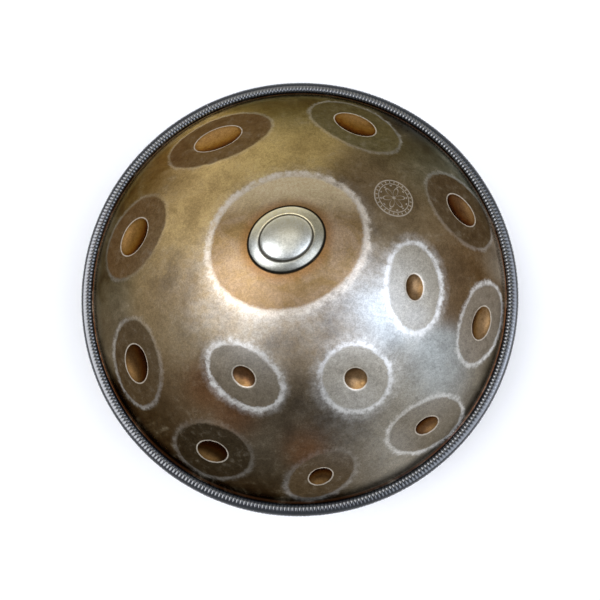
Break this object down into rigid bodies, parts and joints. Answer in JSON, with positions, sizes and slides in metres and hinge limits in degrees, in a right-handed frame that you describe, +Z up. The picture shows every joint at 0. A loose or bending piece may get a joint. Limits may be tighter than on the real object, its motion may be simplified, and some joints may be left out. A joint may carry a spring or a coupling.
{
  "type": "handpan",
  "caption": "Round steel hand-played percussion shell pair with hammered oval tone fields, an off-centre domed main note, a ribbed edge trim and a round port underneath.",
  "frame": {"origin": "under the pan's axis, on the surface that the bottom shell's port rim stands on", "axes": "+Z up along the pan's axis, from the port towards the playing side; +Y from the pan's axis towards the centre note's side; +X to the player's right"},
  "size_m": [0.56, 0.5599, 0.2232],
  "materials": {
    "top_steel": "nitrided steel sheet, hammered, hand-brushed and heat-tinted bronze, satin",
    "bottom_steel": "nitrided steel sheet, brushed in rings, satin",
    "adhesive": "cured adhesive, matte",
    "trim": "moulded vinyl edge trim, satin, ribbed by the clips inside it",
    "clip_steel": "bare stamped steel"
  },
  "bodies": {
    "root": {"top_shell": "top_steel", "bottom_shell": "bottom_steel", "flange_adhesive": "adhesive", "edge_trim": "trim", "trim_clips": "clip_steel"}
  },
  "joints": []
}
